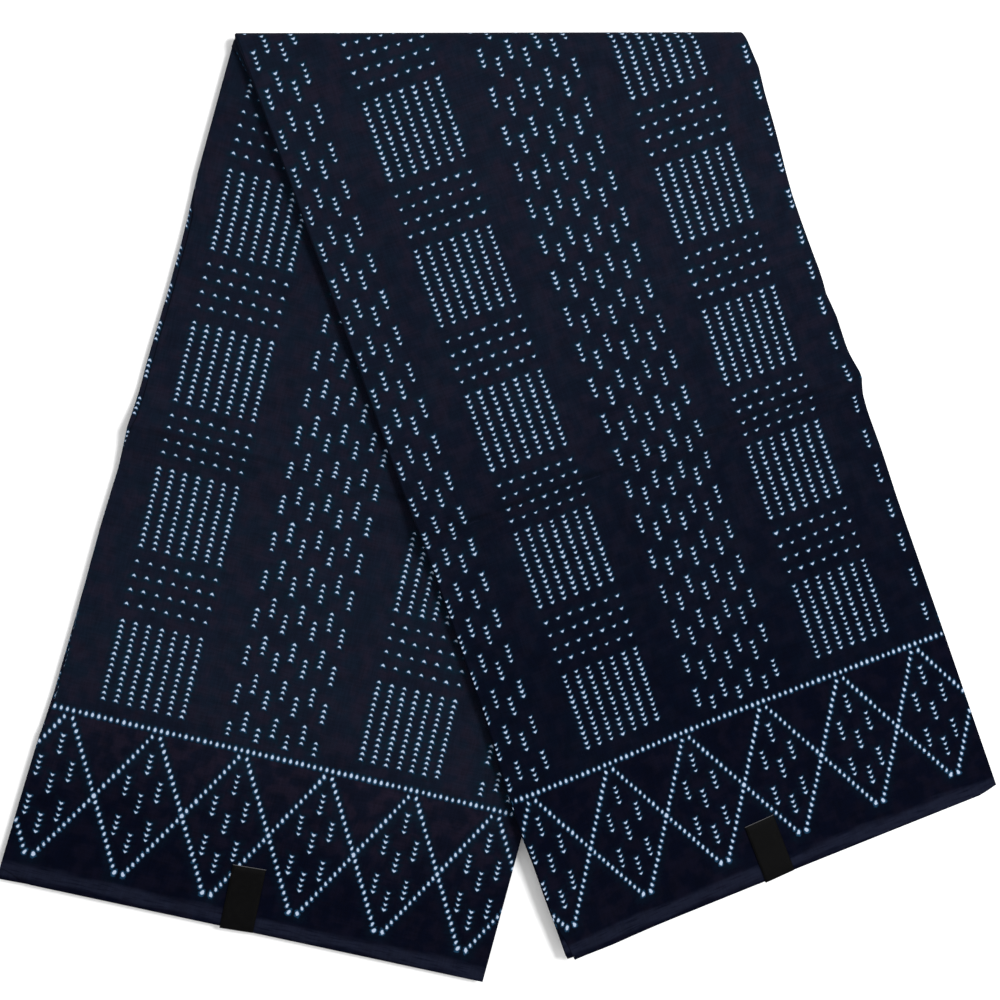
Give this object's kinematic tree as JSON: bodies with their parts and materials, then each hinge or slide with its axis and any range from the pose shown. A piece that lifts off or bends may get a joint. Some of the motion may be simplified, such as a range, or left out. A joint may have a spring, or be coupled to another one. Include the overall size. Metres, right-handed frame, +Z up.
{
  "type": "folded african wax print fabric",
  "caption": "Length of dark indigo cotton wax print, folded back and forth to a flat strip and folded over once into an upside-down V, with a small plain ribbon tab at each hem.",
  "frame": {"origin": "on the floor, under the middle of the cloth's bounding box", "axes": "+Z up from the floor, +X along the top crease to the right, +Y from the open end of the V to its top crease"},
  "size_m": [0.6452, 0.6018, 0.0231],
  "materials": {
    "wax_print_cotton": "matt printed cotton",
    "black_ribbon": "satin"
  },
  "bodies": {
    "root": {"cloth": "wax_print_cotton", "left_hem_tab": "black_ribbon", "right_hem_tab": "black_ribbon"}
  },
  "joints": []
}
